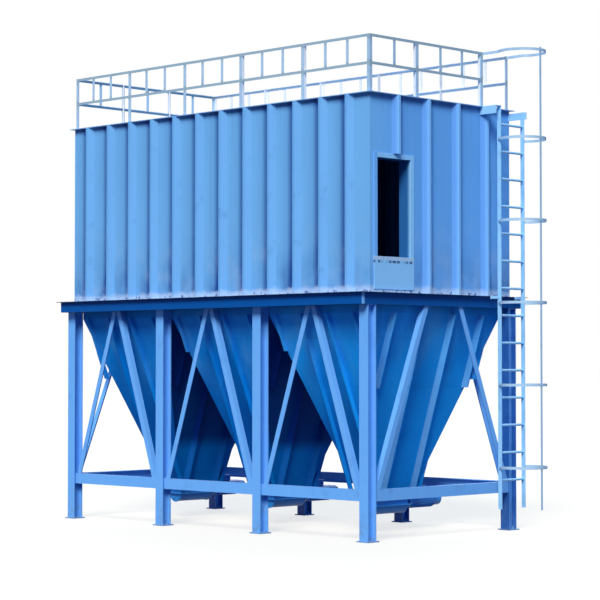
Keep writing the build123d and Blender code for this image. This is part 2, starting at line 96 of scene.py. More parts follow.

# %% [markdown]
# ## Shader maths written as ordinary maths
#
# A finish is a formula over the surface: so much dust near the deck, so much painted shade beside a
# ridge.
# Wiring that by hand takes dozens of Math nodes. This small class stands for one wire in the
# shader, so that adding or multiplying two of them makes the node and joins it up.


# %% A wire that takes part in sums
def join(tree, part, socket):
    """Feeds a wire, or a plain number or colour, into a socket."""
    if isinstance(part, Wire):
        tree.links.new(part.socket, socket)
    else:
        socket.default_value = part


class Wire:
    """One varying value in a material's shader."""

    def __init__(self, tree, socket):
        self.tree = tree
        self.socket = socket

    def node(self, kind, output=0, inputs=None, **settings):
        """Any other node: inputs by name or number, settings as the node's own."""
        made = self.tree.nodes.new(kind)
        for key, value in settings.items():
            setattr(made, key, value)
        for key, part in (inputs or {}).items():
            join(self.tree, part, made.inputs[key])
        return Wire(self.tree, made.outputs[output])

    def maths(self, operation, first, second=0.0):
        """A Math node on two wires or numbers."""
        return self.node("ShaderNodeMath", inputs={0: first, 1: second}, operation=operation)

    def __add__(self, other):
        return self.maths("ADD", self, other)

    __radd__ = __add__

    def __sub__(self, other):
        return self.maths("SUBTRACT", self, other)

    def __rsub__(self, other):
        return self.maths("SUBTRACT", other, self)

    def __mul__(self, other):
        return self.maths("MULTIPLY", self, other)

    __rmul__ = __mul__

    def __truediv__(self, other):
        return self.maths("DIVIDE", self, other)

    def __mod__(self, other):
        return self.maths("FLOORED_MODULO", self, other)

    def __abs__(self):
        return self.maths("ABSOLUTE", self)

    def most(self, other):
        return self.maths("MAXIMUM", self, other)

    def over(self, level):
        return self.maths("GREATER_THAN", self, level)

    def under(self, level):
        return self.maths("LESS_THAN", self, level)

    def rise(self, low, high):
        """0 below low, 1 above high, and a smooth rise between them (or a fall if high < low)."""
        return self.node("ShaderNodeMapRange", interpolation_type="SMOOTHSTEP",
                         inputs={"Value": self, "From Min": low, "From Max": high})

    def blend(self, first, second):
        """The first colour where this wire is 0, the second where it is 1."""
        return self.node("ShaderNodeMix", output=2, inputs={0: self, 6: first, 7: second},
                         data_type="RGBA")


print("wires ready")

# %% [markdown]
# ## Paint that has stood outside
#
# Sprayed gloss paint on sheet steel is one colour only from far off. Near by it is faintly cloudy,
# it has run-marks where rain went down it, and its skin is slightly rippled. Pictures of paint
# could be wrapped round the steel, but noise over object coordinates, which are real metres here,
# needs no picture and shows no joins. Each paint below is this same coat with its own colour, and
# with its own places for dust, dirt, and painted light and shade.


# %% Start a coat of paint
def start_paint(name):
    """A new material with a shader, and the wires for x, y and z on the surface in metres."""
    material = bpy.data.materials.new(name)
    material.use_nodes = True
    tree = material.node_tree
    shader = tree.nodes["Principled BSDF"]
    coordinates = tree.nodes.new("ShaderNodeTexCoord")
    place = Wire(tree, coordinates.outputs["Object"])
    split = tree.nodes.new("ShaderNodeSeparateXYZ")
    tree.links.new(place.socket, split.inputs[0])
    x, y, z = (Wire(tree, out) for out in split.outputs)
    return material, shader, place, x, y, z


def facing(place):
    """The wires for x, y and z of the direction that the surface faces."""
    split = place.node("ShaderNodeSeparateXYZ",
                       inputs={0: place.node("ShaderNodeTexCoord", output="Normal")})
    return [Wire(place.tree, out) for out in split.socket.node.outputs]


def noise(place, scale, detail=3.0, stretch=(1.0, 1.0, 1.0)):
    """Noise from 0 to 1, about 0.5, over places stretched by a factor along each axis."""
    moved = place.node("ShaderNodeMapping", inputs={"Vector": place, "Scale": stretch})
    return place.node("ShaderNodeTexNoise",
                      inputs={"Vector": moved, "Scale": scale, "Detail": detail})


print("coats can be started")

# %% [markdown]
# ## A colour and a skin
#
# A colour is given as on a screen, as levels from 0 to 255, while the renderer reckons with the
# light behind them, so each one is turned round first. The skin of the real coat is cloudy,
# streaked and grained. Three noises do that here: a slow one, one that is drawn out upwards, and a
# fine one. A fourth and a fifth feed a Bump node, which tilts the light on a flat sheet without
# adding a single face to it.


# %% Mix a colour and finish a coat
def colour(red, green, blue):
    """A colour read off as 0 to 255 on a screen, turned into the light it stands for."""
    light = []
    for level in (red, green, blue):
        level = level / 255
        light.append(level / 12.92 if level <= 0.04045 else ((level + 0.055) / 1.055) ** 2.4)
    return (*light, 1.0)


def finish_paint(shader, place, tint, gloss=0.42, ripple=0.25, shine=0.3):
    """Cloudiness, run-marks and a rippled skin over a colour, joined to the shader."""
    cloud = noise(place, 1.1, 4.0)
    runs = noise(place, 1.0, 3.0, stretch=(17.0, 17.0, 0.9))
    grain = noise(place, 70.0, 2.0)
    level = 0.90 + 0.11 * cloud + 0.07 * runs + 0.03 * grain
    shaded = place.node("ShaderNodeMix", output=2, data_type="RGBA", blend_type="MULTIPLY",
                        inputs={0: 1.0, 6: tint, 7: level})
    join(place.tree, shaded, shader.inputs["Base Color"])
    join(place.tree, gloss + 0.12 * cloud + 0.06 * runs, shader.inputs["Roughness"])
    skin = noise(place, 9.0, 3.0) + 0.15 * noise(place, 260.0, 2.0)
    bump = place.node("ShaderNodeBump",
                      inputs={"Height": skin, "Strength": ripple, "Distance": 0.002})
    join(place.tree, bump, shader.inputs["Normal"])
    shader.inputs["Specular IOR Level"].default_value = shine


def dress(material, *names):
    """Puts one material on steel nodes in place of what they came with."""
    for name in names:
        slots = nodes[name].data.materials
        slots.clear()
        slots.append(material)


PAINT = colour(119, 185, 233)
PAINT_END = colour(109, 180, 244)
PAINT_FRAME = colour(112, 180, 244)
PAINT_DEEP = colour(14, 66, 138)
# Blue for painted shade on the hoppers' fronts.
PAINTED_SHADE = colour(2, 84, 166)
DUST = colour(182, 206, 228)
print("paint", [round(v, 3) for v in PAINT])

# %% [markdown]
# ## The walls
#
# The casing's sheets are stiffened by folded ridges, twelve on a long wall and four on an end. They
# stand at equal distances, so the first and the last one and their number give all the others.
# Measuring the spacing on the steel is surer than typing it in.

# %% Measure the ridges
front_low, front_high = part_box("stiffeners_front")
side_low, side_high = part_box("stiffeners_left")
ridge_width = 0.085
long_spaces = 11
end_spaces = 3
front_pitch = (front_high.x - front_low.x - ridge_width) / long_spaces
side_pitch = (side_high.y - side_low.y - ridge_width) / end_spaces
print("ridge pitch", round(front_pitch, 3), round(side_pitch, 3))

# %% [markdown]
# ## Where painted shade and dust lie on a wall
#
# The corner beside a ridge carries painted shade, and between two ridges painted shading darkens
# the sheet slowly from one ridge to the next. On the end walls a faint painted shadow lies on the
# far side of each ridge. Dust that the plant drops lies along the bottom of each wall in a pale
# fringe with dark crumbs in it. All that could be painted on by hand, ridge by ridge. Here the
# distance to the next ridge is a remainder of the place, so that one formula serves every ridge,
# and it counts only up to the last of them.


# %% Say where painted shade and dust lie on a wall
def long_corners(along):
    """Painted shade left of each ridge, and painted shading that darkens the sheet from one ridge
    to the next.
    """
    before = (front_low.x - along) % front_pitch
    after = (along - front_low.x - ridge_width) % front_pitch
    real = along.under(front_high.x)
    dark = before.rise(0.15, 0.055) * real * 0.5
    return dark, after.rise(-0.02, front_pitch - 0.12) * 0.3 * real


def end_corners(along):
    """Painted shadow on the far side of each ridge of an end wall, and faint painted shading across
    each sheet.
    """
    after = (along - side_low.y - ridge_width) % side_pitch
    real = along.over(side_low.y)
    return after.rise(0.12, 0.05) * real * 0.42, after / side_pitch * 0.06 * real


def low_dust(z, place):
    """A ragged pale fringe from the deck up, 1 where the dust lies thickest."""
    ragged = z - 0.10 * noise(place, 6.0, 5.0) - 0.05 * noise(place, 38.0, 3.0)
    return ragged.rise(deck_z + 0.02, deck_z - 0.045)


def crumbs(z, place):
    """Dark crumbs of caked dirt that lie in the pale fringe, close above the deck."""
    spots = noise(place, 24.0, 4.0).rise(0.54, 0.62)
    return spots * z.rise(deck_z + 0.055, deck_z + 0.02)


print("dust and crumbs lie from", round(deck_z, 3), "m up")

# %% [markdown]
# ## The walls' paint
#
# Hands and boots leave smudges on the lowest half metre of a real wall, a pale haze of dust lies
# above the deck, painted shade lies under the roof's edge with a thin darker line in it, and thin
# streaks run down from it. The ends are paler towards the front corner. Each of these is a mask
# from 0 to 1. The dark ones, real dirt and painted shade together, are summed and blended in once,
# which is cheaper than layer upon layer and never gets blacker than the darkest paint, and the pale
# ones lie over them, as dust does.

# %% Paint the long walls and the ends
smudge_top = deck_z + 0.62
haze_top = deck_z + 1.0
eaves_line = roof_z - 0.05


def wall_paint(name, tone, corners, is_end):
    """Wall paint; corners gives the painted shade at a place along the wall, which is x, or y at an
    end.
    """
    material, shader, place, x, y, z = start_paint(name)
    # dark and slow are painted shade: beside each ridge and across each sheet.
    dark, slow = corners(y if is_end else x)
    blotch = noise(place, 2.6, 5.0, stretch=(1.0, 1.0, 0.6)).rise(0.42, 0.68)
    smudge = z.rise(smudge_top, deck_z + 0.02) * blotch * 0.32
    smudge = smudge + z.rise(haze_top, deck_z + 0.1) * 0.1
    # Painted shade under the roof's edge, with a thin darker line of painted shade in it.
    eaves_shade = z.rise(roof_z - 0.12, roof_z - 0.03) * 0.36
    eaves_shade = eaves_shade + z.rise(eaves_line, eaves_line + 0.012) * 0.2
    drips = noise(place, 1.0, 2.0, stretch=(31.0, 31.0, 0.35)).rise(0.56, 0.8) * 0.12
    # The summed dark mask is painted shade beside the ridges, across the sheets and under the
    # eaves, and real dirt in the smudges and drips.
    darkening = (dark + slow + smudge + eaves_shade + drips).rise(-0.15, 1.15)
    if is_end:
        # The ends are paler towards the front corner.
        paler_to_front = y.rise(-0.55, front_y) * 0.5
        tone = paler_to_front.blend(tone, colour(136, 206, 255))
    tint = darkening.blend(tone, PAINT_DEEP)
    haze = z.rise(haze_top, deck_z) * noise(place, 3.8, 4.0).rise(0.4, 0.75) * 0.3
    tint = haze.blend(tint, DUST)
    tint = (low_dust(z, place) * 0.9).blend(tint, DUST)
    tint = (crumbs(z, place) * 0.8).blend(tint, PAINT_DEEP)
    finish_paint(shader, place, tint, gloss=0.24)
    return material


dress(wall_paint("wall_paint_long", PAINT, long_corners, False), "front_wall", "back_wall")
dress(wall_paint("wall_paint_end", PAINT_END, end_corners, True), "right_wall", "left_wall")
print("walls painted")

# %% [markdown]
# ## The ridges and the common coat
#
# A ridge is folded from thinner sheet than the wall, its blue is a little darker than the wall's,
# and its crest is scuffed. On the ends the slanted facet carries painted shade and the crest
# painted light. What stands on the ground has dirt and specks of rust on its lowest half metre, and
# what faces up holds dust. One function with a few switches paints all such parts. Written out for
# each, it would say the same many times over.


# %% Write the common coat
def splashes(tint, z, place):
    """Ground dirt and specks of rust on the lowest half metre of what stands on the ground."""
    mud = z.rise(0.45, 0.0) * noise(place, 14.0, 5.0).rise(0.42, 0.7) * 0.4
    mud = mud + z.rise(0.016, 0.011) * 0.3
    tint = mud.blend(tint, colour(126, 134, 140))
    specks = noise(place, 55.0, 4.0).rise(0.60, 0.68) * z.rise(0.10, 0.01) * 0.7
    return specks.blend(tint, colour(112, 72, 48))


def plain_paint(name, tone, fringe=0.0, scuffs=0.3, settled=0.0):
    """Paint with scuffs, a pale fringe at the deck, and dust settled on what faces up."""
    material, shader, place, x, y, z = start_paint(name)
    tint = tone
    if fringe > 0:
        tint = (low_dust(z, place) * fringe).blend(tint, DUST)
    scuff = noise(place, 5.0, 6.0).rise(0.56, 0.82) * scuffs
    tint = scuff.blend(tint, PAINT_DEEP)
    if settled > 0:
        up = facing(place)[2].rise(0.3, 0.95) * noise(place, 4.0, 4.0).rise(0.2, 0.6)
        tint = (up * settled).blend(tint, DUST)
    finish_paint(shader, place, splashes(tint, z, place), gloss=0.3)
    return material


def end_ridge_paint(name):
    """Paint for an end wall's ridges, with painted shade on the slanted facet and painted light on
    the crest.
    """
    material, shader, place, x, y, z = start_paint(name)
    over = ((y - side_low.y) % side_pitch) / ridge_width
    # Painted shade on the slanted facet, painted light on the crest.
    tint = over.rise(0.25, 0.85).blend(colour(98, 158, 226), colour(132, 198, 250))
    tint = (low_dust(z, place) * 0.6).blend(tint, DUST)
    finish_paint(shader, place, tint, gloss=0.3)
    return material


dress(plain_paint("ridge_paint", colour(111, 174, 226), 0.7),
      "stiffeners_front", "stiffeners_back")
dress(end_ridge_paint("end_ridge_paint"), "stiffeners_right", "stiffeners_left")
print("ridges painted")

# %% [markdown]
# ## The roof
#
# The roof is flat and welded from sheets 1.2 m wide. Water stands on it long enough to leave grey
# clouds and stains, and dirt keeps to the welds. The welds could be modelled as beads, but they are
# a few millimetres high and seen from below or far off, so a dark line in the paint is enough.

# %% Paint the roof
roof_sheet = 1.2
weld_half = 0.004


def roof_paint(name):
    """Roof paint, clouded and stained, with a weld between sheets and one along the middle."""
    material, shader, place, x, y, z = start_paint(name)
    seam = abs(abs(x - middle_x) % roof_sheet - roof_sheet / 2).over(roof_sheet / 2 - weld_half)
    seam = seam.most(abs(y).under(weld_half))
    grey = noise(place, 1.3, 5.0).rise(0.35, 0.75) * 0.45
    tint = grey.blend(colour(126, 178, 226), colour(160, 190, 220))
    stain = noise(place, 3.1, 6.0).rise(0.55, 0.8) * 0.3
    tint = (seam * 0.45 + stain).blend(tint, PAINT_DEEP)
    finish_paint(shader, place, tint, gloss=0.4)
    return material


dress(roof_paint("roof_paint"), "roof_plate")
print("roof painted, weld every", roof_sheet, "m")

# %% [markdown]
# ## The inlet
#
# Dirty gas enters through a flanged opening in the end wall. Its inside is painted dark, as painted
# shade, and the frame's near leg lighter, as painted light. Chalky dust lies along its sill, and
# under that runs a row of dark dashes, like the marks of a torn gasket.
# The dashes are noise that is stretched along the wall and cut off sharply, within a band a few
# centimetres high. Small pieces of sheet would do as well, but marks this thin need no shape.

# %% Paint the inlet
inlet_low, inlet_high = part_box("inlet_frame")
opening_height = 1.085
sill_z = inlet_high.z - opening_height
frame_leg = 0.05


def inlet_paint(name):
    """Inlet paint with painted shade inside and painted light on the frame's near leg, chalk on the
    sill and torn dashes below it.
    """
    material, shader, place, x, y, z = start_paint(name)
    # Painted shade inside the opening, deepening inwards.
    inside = x.rise(inlet_high.x - 0.004, inlet_high.x - 0.06)
    # Painted light on the frame's near leg, which is lighter than the rest of the frame.
    near_leg = y.under(inlet_low.y + frame_leg) * z.over(sill_z + 0.005)
    face = near_leg.blend(colour(146, 208, 250), colour(118, 184, 244))
    tint = inside.blend(face, colour(42, 106, 168))
    chalk = z.rise(sill_z, sill_z - 0.008) * z.rise(sill_z - 0.040, sill_z - 0.030)
    tint = (chalk * 0.85).blend(tint, DUST)
    torn = noise(place, 1.0, 3.0, stretch=(0.0, 26.0, 3.0)).rise(0.46, 0.52)
    row = z.rise(sill_z - 0.038, sill_z - 0.046) * z.rise(sill_z - 0.072, sill_z - 0.064)
    tint = (torn * row * (1 - inside) * 0.85).blend(tint, colour(30, 52, 100))
    finish_paint(shader, place, tint, gloss=0.3)
    return material


dress(inlet_paint("inlet_paint"), "inlet_frame")
print("inlet from", round(inlet_low.z, 3), "to", round(inlet_high.z, 3))

# %% [markdown]
# ## The hoppers
#
# The hoppers catch the dust that falls from the bags. Their blue is deeper and stronger than the
# walls', partly as painted shade of the deck above them, and they stand mostly in shade. Dust that
# slides off the deck leaves pale runs below their rims, and the seams between their welded strakes
# show as faint lines. The rest is painted light and shade: the last hopper is a little lighter than
# its neighbours, each is lighter near its rim, the fronts darken towards the bottom, the rib facets
# on the last hopper's outer side are lighter and those on the fronts darker, and the side that two
# hoppers turn to each other carries painted shade. Which way a face looks tells ribs from slopes
# here, so that ribs and shell can stay one mesh with one paint.

# %% Measure the hoppers' slopes
rim_z = deck_z - 0.2
foot_z = 0.390
foot_half_x = 0.125
flare_x = 0.309
strake = 0.53
# The deep blues are partly painted shade; the third hopper's lighter tone is painted light.
hopper_tones = {"hopper_1": colour(4, 142, 224), "hopper_2": colour(6, 142, 226),
                "hopper_3": colour(30, 172, 252)}
print("hopper rims at", round(rim_z, 3), "feet at", foot_z)


# %% Paint the hoppers
def hopper_paint(name, tone, middle, valley_shade):
    """Deep blue with pale runs from the rim down, faint seams, painted light and shade by the way
    each face looks, and painted shade in a valley.
    """
    material, shader, place, x, y, z = start_paint(name)
    runs = noise(place, 1.0, 4.0, stretch=(4.2, 4.2, 0.55))
    pale = runs.rise(0.42, 0.72) * z.rise(rim_z - 1.25, rim_z - 0.1) * 0.5
    tint = pale.blend(tone, colour(104, 182, 232))
    facing_x, facing_y = facing(place)[:2]
    front = facing_y.under(-0.5)
    # Painted shade: the fronts darken towards the bottom.
    tint = (front * z.rise(rim_z - 0.3, rim_z - 1.4) * 0.75).blend(tint, PAINTED_SHADE)
    # Painted light on the rib facets of the last hopper's outer side, and painted shade on the rib
    # facets of the fronts.
    rib = facing_x.over(0.3) * facing_y.under(-0.3)
    on_side = (x - middle).over(abs(y) * 0.6)
    tint = (rib * on_side * 0.5 * (1 - valley_shade)).blend(tint, colour(140, 202, 244))
    tint = (rib * (1 - on_side) * 0.85).blend(tint, colour(2, 76, 150))
    # Painted light: lighter near the rim.
    tint = (z.rise(rim_z - 0.55, rim_z) * 0.3).blend(tint, colour(84, 184, 246))
    seam = abs((rim_z - z) % strake - strake / 2).under(weld_half)
    seam = seam * noise(place, 6.0, 2.0).rise(0.35, 0.55)
    tint = (seam * 0.25).blend(tint, PAINT_DEEP)
    deep = noise(place, 1.7, 5.0).rise(0.45, 0.75) * 0.4
    tint = deep.blend(tint, colour(6, 104, 200))
    # Painted shade on the side face that looks into the valley between two hoppers.
    slope_x = middle + foot_half_x + (z - foot_z) * flare_x
    darkening = (x - slope_x).rise(-0.02, 0.0) * valley_shade * z.rise(0.8, 1.0)
    tint = darkening.blend(tint, colour(1, 34, 112))
    finish_paint(shader, place, tint, gloss=0.4, shine=0.06)
    return material


for hopper, tone in hopper_tones.items():
    low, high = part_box(hopper)
    # Painted shade on every hopper's side that faces its neighbour, but not on the last one.
    valley_shade = 0.0 if hopper == "hopper_3" else 0.95
    dress(hopper_paint(hopper + "_paint", tone, (low.x + high.x) / 2, valley_shade), hopper)
# The valves' blue is lighter than the hoppers', as painted light where they hang in the hoppers'
# shade.
dress(plain_paint("valve_paint", colour(40, 160, 240), settled=0.5),
      "discharge_valve_1", "discharge_valve_2", "discharge_valve_3", "valve_drives")
print("hoppers painted")

# %% [markdown]
# ## The platform
#
# The platform carries the casing and gives a narrow ledge round it. Its edge has the hoppers' blue,
# deepened as painted shade of the deck's lip, dirt cakes along the deck's lip, and dust lies at the
# foot of the walls, where no boot treads. The lighter plates welded on at its ends belong to the
# same steel, so the place on the beam, and not a slot of their own, gives them their colour.

# %% Paint the platform
plate_t = 0.007
end_plate_x = wall_half_x + 0.0425
end_plate_y = 1.27


def deck_paint(name, tone):
    """The platform's deep blue, partly painted shade, with a ragged dark line where dirt cakes
    along the deck's lip.
    """
    material, shader, place, x, y, z = start_paint(name)
    out_x = abs(x - middle_x)
    out_y = abs(y)
    lip = out_x.rise(plate_half_x - 0.05, plate_half_x - 0.02)
    lip = lip.most(out_y.rise(plate_high.y - 0.05, plate_high.y - 0.02))
    ragged = z + 0.022 * noise(place, 21.0, 4.0) + 0.012 * noise(place, 90.0, 3.0)
    caked = ragged.rise(deck_z - 0.004, deck_z + 0.008) * lip * 0.85
    tint = caked.blend(tone, colour(8, 26, 64))
    top = z.rise(deck_z - 0.003, deck_z - 0.001)
    wall_foot = (out_x - wall_half_x).most(out_y - back_y).rise(0.09, 0.0)
    dusty = 0.75 * wall_foot + noise(place, 2.4, 5.0).rise(0.3, 0.8) * 0.4
    tint = (top * dusty).blend(tint, DUST)
    end_plate = out_x.over(end_plate_x) * z.under(deck_z - plate_t) * out_y.over(end_plate_y)
    tint = end_plate.blend(tint, colour(122, 186, 240))
    finish_paint(shader, place, tint, gloss=0.4, shine=0.1)
    return material


# The platform's deep blue is partly painted shade of the deck's lip.
dress(deck_paint("platform_paint", colour(5, 84, 158)),
      "platform_beam_front", "platform_beam_back", "platform_beam_left", "platform_beam_right",
      "platform_grid", "platform_plate")
print("platform painted")

# %% [markdown]
# ## The frame
#
# Columns, beams and braces have nearly the colour of the walls. The back row carries painted shade,
# in patches, on the side that it turns to the machine. Painting that side by the way it faces saves
# picking its faces by hand.


# %% Paint the frame
def back_column_paint(name):
    """Frame paint with painted shade on the side that faces the machine."""
    material, shader, place, x, y, z = start_paint(name)
    # Painted shade in patches on the side that faces the machine.
    shaded_side = facing(place)[1].under(-0.5) * noise(place, 2.0, 4.0).rise(0.1, 0.4)
    tint = (shaded_side * 0.85).blend(PAINT_FRAME, colour(18, 84, 164))
    finish_paint(shader, place, splashes(tint, z, place), gloss=0.3)
    return material


front_frame = ("column_front", "lower_beam", "braces")
frame_nodes = [name for name in nodes if name.startswith(front_frame)]
dress(plain_paint("frame_paint", PAINT_FRAME, scuffs=0.22, settled=0.3), *frame_nodes)
back_nodes = [name for name in nodes if name.startswith("column_back")]
dress(back_column_paint("back_column_paint"), *back_nodes)
print(len(frame_nodes), "frame nodes and", len(back_nodes), "back columns")

# %% [markdown]
# ## The rails and the ladder
#
# Rails and ladder are made of thin bars and are paler than the frame, and the level rails, which
# hands and weather reach, have gone grey. Their sides below and towards the machine stand in shade
# and are painted almost white, as painted light. The level rails are told from the posts by their
# height alone, because all of them are one mesh.

# %% Paint the rails and the ladder
rail_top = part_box("railing_front")[1].z
rail_mid = (roof_z + rail_top) / 2


def rail_paint(name, tone, painted_light_tone):
    """Rail paint, grey on the level rails, with painted light on the faces below and inside."""
    material, shader, place, x, y, z = start_paint(name)
    down = facing(place)[2].under(-0.5)
    inner_x = (wall_half_x - 0.02 - abs(x - middle_x)).over(0.0)
    inner = inner_x * (back_y - 0.012 - abs(y)).over(0.0)
    level_rails = z.rise(rail_top - 0.075, rail_top - 0.035)
    level_rails = level_rails.most(abs(z - rail_mid).rise(0.05, 0.018))
    tint = level_rails.blend(tone, colour(158, 184, 194))
    # Painted light: faces below and towards the machine are painted almost white.
    tint = down.most(inner).blend(tint, painted_light_tone)
    scuff = noise(place, 6.0, 6.0).rise(0.55, 0.8) * 0.35
    finish_paint(shader, place, scuff.blend(tint, colour(96, 140, 178)), gloss=0.4)
    return material


rail_nodes = [name for name in nodes if name.startswith("railing")]
# The second colour is the painted light on the faces below and inside.
dress(rail_paint("rail_paint", colour(176, 206, 226), colour(238, 239, 236)), *rail_nodes)
dress(plain_paint("ladder_paint", colour(156, 214, 250)), "ladder")
dress(plain_paint("cage_paint", colour(176, 208, 228)), "ladder_cage")
print(len(rail_nodes), "railings, a ladder and a cage painted")

# %% [markdown]
# ## Modelling by hand, written down
#
# Small parts are modelled the way a hand would do it: a primitive is put down, its faces are picked
# by where they lie or face, and edit-mode tools shape them. Typing in lists of corners would be
# shorter to run but harder to read and to change. Everything is deselected first, since an operator
# works on all that is selected.


# %% Pick faces and shape rods and boxes
def choose(*objects):
    """Selects these objects alone; the first is the active one."""
    bpy.ops.object.select_all(action="DESELECT")
    for chosen in objects:
        chosen.select_set(True)
    bpy.context.view_layer.objects.active = objects[0]


def pick(part, wanted):
    """Opens a part in edit mode with only the faces picked whose middle and normal are wanted."""
    choose(part)
    bpy.context.tool_settings.mesh_select_mode = (False, False, True)
    for layer in (part.data.vertices, part.data.edges, part.data.polygons):
        layer.foreach_set("select", [False] * len(layer))
    for face in part.data.polygons:
        face.select = wanted(face.center, face.normal)
    bpy.ops.object.mode_set(mode="EDIT")


def rod(sides, radius, low, high, chamfer):
    """A round or six-sided rod along Z, chamfered at its top."""
    bpy.ops.object.select_all(action="DESELECT")
    bpy.ops.mesh.primitive_cylinder_add(vertices=sides, radius=radius, depth=high - low,
                                        location=(0, 0, (low + high) / 2))
    part = bpy.context.object
    bpy.ops.object.transform_apply(location=True, rotation=True, scale=True)
    pick(part, lambda middle, normal: normal.z > 0.9)
    bpy.ops.mesh.inset(thickness=chamfer)
    bpy.ops.object.mode_set(mode="OBJECT")
    for vertex in part.data.vertices:
        if vertex.co.z > high - 1e-6 and vertex.co.xy.length > radius - 0.5 * chamfer:
            vertex.co.z -= chamfer * 0.6
    return part


def box_part(size, middle, edge):
    """A box with all its edges bevelled."""
    bpy.ops.object.select_all(action="DESELECT")
    bpy.ops.mesh.primitive_cube_add(size=1.0, location=middle, scale=size)
    part = bpy.context.object
    bpy.ops.object.transform_apply(location=True, rotation=True, scale=True)
    bevel = part.modifiers.new("edges", "BEVEL")
    bevel.width = edge
    bevel.segments = 2
    bpy.ops.object.modifier_apply(modifier=bevel.name)
    return part


print("rods and boxes ready")

# %% [markdown]
# ## One part, many places
#
# Bolts, fins and feet repeat dozens of times. Each is modelled once at the origin, then copied to
# its places, and the copies are joined into one piece, which rides on the steel. Array modifiers
# could repeat them too, but only along a line or a curve, and these places come from the steel.
# Each copy has a mesh of its own, so that moving one can't move the rest.


# %% Join parts and set them out
def placed(part, matrix):
    """Moves a part's mesh by a matrix."""
    part.data.transform(matrix)
    return part


def joined(name, *parts):
    """Joins parts into the first of them, under a new name."""
    choose(*parts)
    if len(parts) > 1:
        bpy.ops.object.join()
    parts[0].name = name
    return parts[0]


def copied(master, name, matrix):
    """A copy with a mesh of its own, moved by a matrix."""
    copy = bpy.data.objects.new(name, master.data.copy())
    bpy.context.scene.collection.objects.link(copy)
    return placed(copy, matrix)


def turned(direction, place):
    """The matrix that stands a part's Z along a direction and moves it to a place."""
    turn = Vector(direction).to_track_quat("Z", "Y").to_matrix().to_4x4()
    return Matrix.Translation(place) @ turn


def set_out(master, name, material, matrices):
    """One piece of many copies of a small part."""
    piece = joined(name, *[copied(master, name, matrix) for matrix in matrices])
    piece.data.materials.clear()
    piece.data.materials.append(material)
    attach(piece, "root")
    print(name, len(matrices), "copies,", len(piece.data.polygons), "faces")
    return piece


def discard(*parts):
    """Takes the masters away once their copies stand."""
    for part in parts:
        bpy.data.objects.remove(part)


print("tools ready")

# %% [markdown]
# ## The anchor bolts
#
# Each base plate is held by four anchor bolts. Their nuts were painted over with the steel and have
# bled a little rust since. A washer, a nut and the end of the stud are three rods, one above the
# other: a hexagon is simply a cylinder of six sides with a chamfered top. The thread isn't cut,
# because paint fills it and it couldn't be seen from here.


# %% Paint for nuts, and the anchor bolts
def nut_paint(name, tone, rust):
    """Paint that is worn to rust in small spots."""
    material, shader, place, x, y, z = start_paint(name)
    worn = noise(place, 90.0, 4.0).rise(0.5, 0.72) * rust
    tint = worn.blend(tone, colour(120, 84, 58))
    finish_paint(shader, place, tint, gloss=0.5, ripple=0.5)
    return material


base_top = 0.012
anchor_x = 0.038
anchor_y = 0.030
frame_nut = nut_paint("painted_nuts", colour(104, 164, 218), 0.55)
washer = rod(20, 0.0165, 0.0, 0.003, 0.001)
nut = rod(6, 0.0139, 0.003, 0.016, 0.0016)
stud = rod(12, 0.008, 0.016, 0.034, 0.0015)
anchor = joined("anchor", washer, nut, stud)
for side in ("front", "back"):
    for number in range(1, 5):
        low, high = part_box(f"column_{side}_{number}")
        at = (low + high) / 2
        places = [turned((0, 0, 1), (at.x + dx, at.y + dy, base_top))
                  for dx in (-anchor_x, anchor_x) for dy in (-anchor_y, anchor_y)]
        set_out(anchor, f"anchor_nuts_{side}_{number}", frame_nut, places)
discard(anchor)

# %% [markdown]
# ## The valves' bolts
#
# A rotary valve hangs on each hopper by a ring of bolts through two flanges. Heads show above the
# upper flange and nuts below the lower one. Both are the same small hexagon on its washer, stood
# upright above and turned over below, which saves a second model.

# %% Bolt the valves to the hoppers
flange_t = 0.010
bolt_inset = 0.014
bolts_along_x = (-0.1, 0.0, 0.1)
bolts_along_y = (-0.11, -0.01, 0.09, 0.19)
hopper_nut = nut_paint("flange_bolts", colour(26, 112, 190), 0.35)
flange_bolt = joined("flange_bolt", rod(16, 0.0105, 0.0, 0.002, 0.0006),
                     rod(6, 0.0092, 0.002, 0.0085, 0.0012))
for number in (1, 2, 3):
    low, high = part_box(f"discharge_valve_{number}")
    at = (low + high) / 2
    rim_x = (high.x - low.x) / 2 - bolt_inset
    rim_y = (high.y - low.y) / 2 - bolt_inset
    spots = [(dx, side * rim_y) for dx in bolts_along_x for side in (-1, 1)]
    spots += [(side * rim_x, dy) for dy in bolts_along_y for side in (-1, 1)]
    places = []
    for dx, dy in spots:
        places.append(turned((0, 0, 1), (at.x + dx, at.y + dy, high.z + flange_t)))
        places.append(turned((0, 0, -1), (at.x + dx, at.y + dy, high.z - flange_t)))
    set_out(flange_bolt, f"valve_bolts_{number}", hopper_nut, places)

# %% [markdown]
# ## The bolts of the cage
#
# Each hoop of the cage is a bent flat bar, with a bolt at each end that holds it to the ladder's
# side. The flange bolt serves again, laid on its side. The hoops stand at equal distances, so their
# levels are counted up from the first.

# %% Bolt the cage's hoops to the ladder
hoop_bolt_x = middle_x + 2.645
ladder_y = 0.912
strap_face = 0.2118
hoop_first = 0.715
hoop_pitch = 0.9
hoop_levels = [hoop_first + hoop_pitch * i for i in range(5)]
rail_nut = nut_paint("rail_bolts", colour(150, 190, 216), 0.3)
places = [turned((0, side, 0), (hoop_bolt_x, ladder_y + side * strap_face, level))
          for level in hoop_levels for side in (-1, 1)]
set_out(flange_bolt, "hoop_bolts", rail_nut, places)
discard(flange_bolt)

# %% [markdown]
# ## The motors that turn the valves
#
# The steel has each geared motor as a plain turned body. A real one is cast with cooling fins along
# it, and has a terminal box on top with a lid and a cable gland. A fin could be drawn out of the
# body's own faces, but it is simpler as a box of its own whose outer face is drawn in. The terminal
# box is two bevelled boxes with four screws and a six-sided gland.

